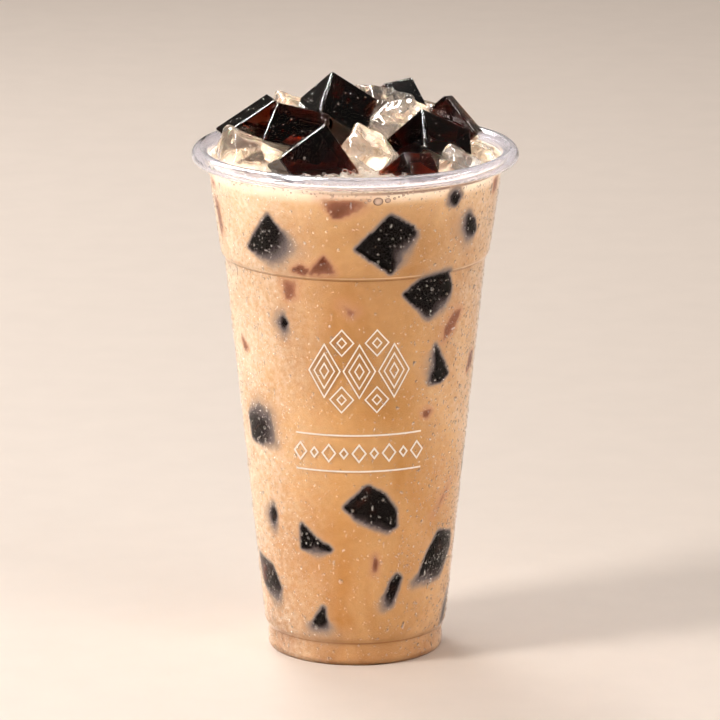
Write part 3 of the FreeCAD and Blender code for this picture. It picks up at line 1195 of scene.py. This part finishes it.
def make_clinging_drops(heap_tree):
    """Tiny drops and bubbles that cling to the jelly and ice."""
    shapes = []
    for _ in range(9000):
        if len(shapes) == CLINGING_DROPS:
            break
        angle = chance(0, 2 * math.pi)
        tip = round_axis(1, angle, chance(-0.1, 1.2)).normalized()
        aim = Vector((chance(-36, 36), chance(-36, 36), 0)) * MM
        aim.z = LEVEL + chance(2, 20) * MM
        hit, normal, _, _ = heap_tree.ray_cast(aim + tip * 0.1, -tip, 0.12)
        if hit is None or hit.z < LEVEL + 0.8 * MM:
            continue
        out = normal if normal.dot(tip) > 0 else -normal
        right = out.orthogonal().normalized()
        radius = chance_size(0.17, 0.4, 0.5)
        shapes.append(dome(hit, right, out.cross(right), out, radius, radius, radius * 0.8))
    add_shapes("clinging_drops", shapes, water_material())


# ---------------------------------------------------------------- the print

PRINT_PROUD = 0.05 * MM

# The azimuth of the print's middle, in degrees.
PRINT_AZIMUTH = 2.0

# All in mm.
LATTICE_HEIGHT = 91.0
LATTICE_PITCH = 10.2
LATTICE_RISE = 8.6
RULE_HEIGHTS = (71.5, 60.5)
RULE_REACH = 19
ROW_PITCH = 4.4
FINE_LINE = 0.42
BOLD_LINE = 0.5


def print_point(across, height, proud):
    """A point of the print: across and height in mm, wrapped round the wall from its middle."""
    radius = outer_radius(height * MM)
    azimuth = PRINT_AZIMUTH + math.degrees(across * MM / radius)
    return wall_point(azimuth, height * MM, proud)


def ribbon(line, width, closed=True):
    """A flat line of ink along points (across, height) in mm, its corners mitred.

    Its section runs the other way round than a ring's, so its faces are turned over.
    """
    line = [Vector(point) for point in line]
    points = []
    for index, point in enumerate(line):
        before = line[index - 1] if index or closed else point
        after = line[(index + 1) % len(line)] if index < len(line) - 1 or closed else point
        first = (point - before).normalized() if point != before else (after - point).normalized()
        second = (after - point).normalized() if after != point else first
        side = Vector((-(first.y + second.y), first.x + second.x)).normalized()
        stretch = 1 / max(side.dot(Vector((-first.y, first.x))), 0.4)
        left = point + side * (width / 2 * stretch)
        right = point - side * (width / 2 * stretch)
        points += [print_point(*left, PRINT_PROUD), print_point(*right, PRINT_PROUD)]
        points += [print_point(*right, 0.0), print_point(*left, 0.0)]
    faces = tube_faces(len(line), 4, closed)
    return points, [[face[0], *face[:0:-1]] for face in faces]


def lozenge(across, height, half_width, half_height, steps=5):
    """Corner points of an upright diamond, with points between them so that it follows the wall."""
    corners = [(across, height + half_height), (across + half_width, height),
               (across, height - half_height), (across - half_width, height)]
    line = []
    for (x0, y0), (x1, y1) in zip(corners, corners[1:] + corners[:1]):
        for step in range(steps):
            share = step / steps
            line.append((x0 + (x1 - x0) * share, y0 + (y1 - y0) * share))
    return line


def make_print():
    """A plain ornament in white ink: a lattice of diamonds over a row of small ones between two rules."""
    shapes = []
    for column in (-1, 0, 1):
        for half in (4.6, 3.0, 1.3):
            diamond = lozenge(column * LATTICE_PITCH, LATTICE_HEIGHT, half, half * 1.75)
            shapes.append(ribbon(diamond, FINE_LINE))
    for column in (-0.5, 0.5):
        for height in (LATTICE_HEIGHT - LATTICE_RISE, LATTICE_HEIGHT + LATTICE_RISE):
            shapes.append(ribbon(lozenge(column * LATTICE_PITCH, height, 3.4, 3.9), FINE_LINE))
            shapes.append(ribbon(lozenge(column * LATTICE_PITCH, height, 1.3, 1.5, steps=3), FINE_LINE))
    for height in RULE_HEIGHTS:
        rule = [(across, height) for across in np.linspace(-RULE_REACH, RULE_REACH, 40)]
        shapes.append(ribbon(rule, BOLD_LINE, closed=False))
    for column in range(-4, 5):
        size = 2.6 if column % 2 == 0 else 1.5
        diamond = lozenge(column * ROW_PITCH, sum(RULE_HEIGHTS) / 2, size * 0.75, size, steps=3)
        shapes.append(ribbon(diamond, BOLD_LINE))
    add_shapes("white_print", shapes, ink_material(), smooth=False)


# ---------------------------------------------------------------- stage, light and camera

FLOOR_REACH = 3
AIM = Vector((0, 0, 0.09))

# Each lamp: name, place, size, power in watts and colour. The fill shows in no reflection, and the glints
# give no diffuse light.
LAMPS = [
    ("key", (-0.95, -0.45, 0.75), (0.3, 0.3), 9.4, (1.0, 0.96, 0.91)),
    ("fill", (0.9, -0.8, 0.40), (0.6, 0.8), 6.0, (1.0, 0.97, 0.94)),
    ("back", (-0.35, 0.85, 0.75), (0.5, 0.2), 3.5, (1.0, 0.98, 0.96)),
    ("glint_left", (-0.45, 0.19, 1.35), (1.4, 0.16), 74.0, (1.0, 0.98, 0.95)),
    ("glint_right", (0.916, 0.08, 1.07), (0.8, 0.05), 6.0, (1.0, 0.98, 0.95)),
]

CAMERA_TARGET = Vector((1.4, 0.0, 85.8)) * MM
CAMERA_DISTANCE = 1.795
CAMERA_ELEVATION = math.radians(13.87)


def make_floor():
    corners = [(x * FLOOR_REACH, y * FLOOR_REACH, 0) for x, y in ((-1, -1), (1, -1), (1, 1), (-1, 1))]
    floor = linked("floor", mesh_from("floor", corners, [(0, 1, 2, 3)]))
    floor.data.materials.append(floor_material())


def background(tree, colour, strength):
    node = tree.nodes.new("ShaderNodeBackground")
    node.inputs["Color"].default_value = colour
    node.inputs["Strength"].default_value = strength
    return node


def blended(tree, factor, first, second):
    """The first shader where the factor is 0 and the second where it is 1."""
    node = tree.nodes.new("ShaderNodeMixShader")
    tree.links.new(factor, node.inputs["Fac"])
    tree.links.new(first.outputs[0], node.inputs[1])
    tree.links.new(second.outputs[0], node.inputs[2])
    return node


def make_world():
    """Soft even light, dim in reflections. The camera and clear things see a pale backdrop instead."""
    world = bpy.data.worlds.new("studio")
    bpy.context.scene.world = world
    world.use_nodes = True
    tree = world.node_tree
    tree.nodes.clear()
    rays = tree.nodes.new("ShaderNodeLightPath").outputs
    looked_at = tree.nodes.new("ShaderNodeMath")
    looked_at.operation = "MAXIMUM"
    tree.links.new(rays["Is Camera Ray"], looked_at.inputs[0])
    tree.links.new(rays["Is Transmission Ray"], looked_at.inputs[1])
    lit = background(tree, srgb(255, 246, 238), 0.38)
    mirrored = background(tree, srgb(250, 236, 224), 0.06)
    backdrop = background(tree, srgb(247, 228, 212), 0.85)
    light = blended(tree, rays["Is Glossy Ray"], lit, mirrored)
    whole = blended(tree, looked_at.outputs[0], light, backdrop)
    output = tree.nodes.new("ShaderNodeOutputWorld")
    tree.links.new(whole.outputs[0], output.inputs["Surface"])


def make_lights():
    for name, place, size, power, colour in LAMPS:
        light = bpy.data.lights.new(name, "AREA")
        light.shape = "RECTANGLE"
        light.size, light.size_y = size
        light.energy = power
        light.color = colour
        lamp = linked(name, light)
        lamp.location = place
        lamp.rotation_euler = (AIM - Vector(place)).to_track_quat("-Z", "Y").to_euler()
        lamp.visible_glossy = name != "fill"
        lamp.visible_diffuse = not name.startswith("glint")


def make_camera():
    """A long lens, a little above the cup, looking at its middle."""
    camera = bpy.data.cameras.new("camera")
    camera.sensor_width = 36.0
    camera.lens = 307.0
    camera.clip_end = 20.0
    holder = linked("camera", camera)
    ahead = Vector((0, math.cos(CAMERA_ELEVATION), -math.sin(CAMERA_ELEVATION)))
    holder.location = CAMERA_TARGET - ahead * CAMERA_DISTANCE
    holder.rotation_euler = Euler((math.pi / 2 - CAMERA_ELEVATION, 0, 0))
    bpy.context.scene.camera = holder


# ---------------------------------------------------------------- putting it together

def dress_cup():
    """The solid cup stays as it is, in the clear material."""
    cup = NODES["cup"]
    cup.data.materials.clear()
    cup.data.materials.append(clear_plastic_material())


def main():
    back_dark, back_amber = round_the_back()
    dark_shapes = sunk_shapes(SUNK_DARK + back_dark)
    amber_shapes = sunk_shapes(SUNK_AMBER + back_amber)
    dress_cup()
    make_tea(dark_shapes, amber_shapes)
    add_shapes("sunk_jelly", dark_shapes, sunk_jelly_material())
    heap_tree = tree_of(*make_jelly(), *make_ice())
    make_froth(heap_tree)
    make_surface_bubbles(heap_tree)
    make_open_foam(heap_tree)
    make_wall_bubbles()
    make_clinging_drops(heap_tree)
    make_condensation()
    make_print()
    make_floor()
    make_world()
    make_lights()
    make_camera()
    bpy.context.scene.view_settings.view_transform = "Standard"


main()
